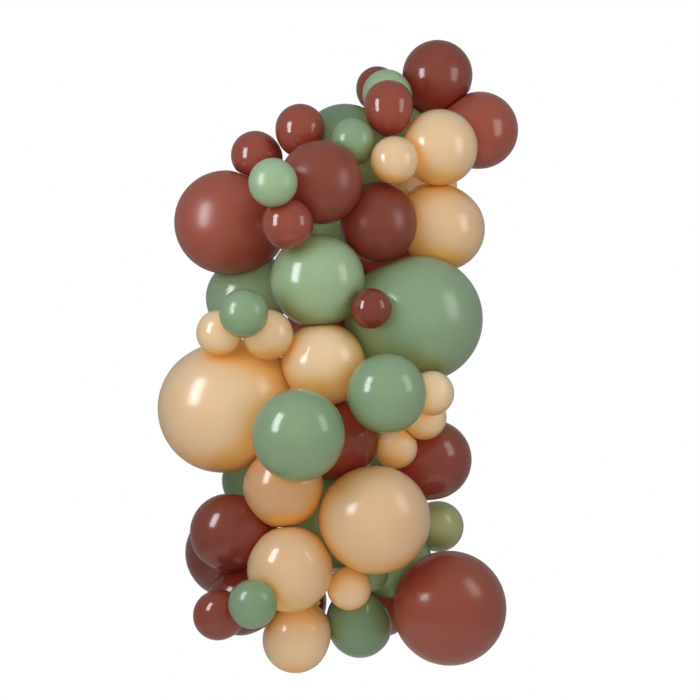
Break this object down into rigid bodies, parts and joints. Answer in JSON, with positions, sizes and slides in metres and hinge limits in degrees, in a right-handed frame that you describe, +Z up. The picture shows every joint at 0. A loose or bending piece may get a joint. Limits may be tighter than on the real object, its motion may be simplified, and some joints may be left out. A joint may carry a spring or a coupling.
{
  "type": "balloon garland",
  "caption": "Wall garland of round latex balloons in mixed sizes, brown, sage green and peach, clustered into a tall bow that leans right at the top and bottom",
  "frame": {"origin": "centre of the flat where the top sage balloon, sage_04, is pressed on the wall", "axes": "+Z up the garland, +X to the right of someone who looks at it, +Y into the wall; the wall is the plane y = 0 and every balloon is at y <= 0"},
  "size_m": [0.938, 0.5966, 1.6545],
  "materials": {
    "latex_brown": "satin to glossy blown latex, opaque reddish brown",
    "latex_sage": "satin to glossy blown latex, muted sage green",
    "latex_peach": "satin to glossy blown latex, pale peach that turns deeper where it is pressed"
  },
  "bodies": {
    "root": {"brown_01": "latex_brown", "brown_02": "latex_brown", "brown_03": "latex_brown", "brown_04": "latex_brown", "brown_05": "latex_brown", "brown_06": "latex_brown", "brown_07": "latex_brown", "brown_08": "latex_brown", "brown_09": "latex_brown", "brown_10": "latex_brown", "brown_11": "latex_brown", "brown_12": "latex_brown", "brown_13": "latex_brown", "brown_14": "latex_brown", "brown_15": "latex_brown", "brown_16": "latex_brown", "brown_17": "latex_brown", "brown_18": "latex_brown", "brown_19": "latex_brown", "brown_20": "latex_brown", "brown_21": "latex_brown", "brown_22": "latex_brown", "brown_23": "latex_brown", "peach_01": "latex_peach", "peach_02": "latex_peach", "peach_03": "latex_peach", "peach_04": "latex_peach", "peach_05": "latex_peach", "peach_06": "latex_peach", "peach_07": "latex_peach", "peach_08": "latex_peach", "peach_09": "latex_peach", "peach_10": "latex_peach", "peach_11": "latex_peach", "peach_12": "latex_peach", "peach_13": "latex_peach", "peach_14": "latex_peach", "peach_15": "latex_peach", "peach_16": "latex_peach", "sage_01": "latex_sage", "sage_02": "latex_sage", "sage_03": "latex_sage", "sage_04": "latex_sage", "sage_05": "latex_sage", "sage_06": "latex_sage", "sage_07": "latex_sage", "sage_08": "latex_sage", "sage_09": "latex_sage", "sage_10": "latex_sage", "sage_11": "latex_sage", "sage_12": "latex_sage", "sage_13": "latex_sage", "sage_14": "latex_sage", "sage_15": "latex_sage", "sage_16": "latex_sage", "sage_17": "latex_sage", "sage_18": "latex_sage", "sage_19": "latex_sage", "sage_20": "latex_sage", "sage_21": "latex_sage"}
  },
  "joints": []
}
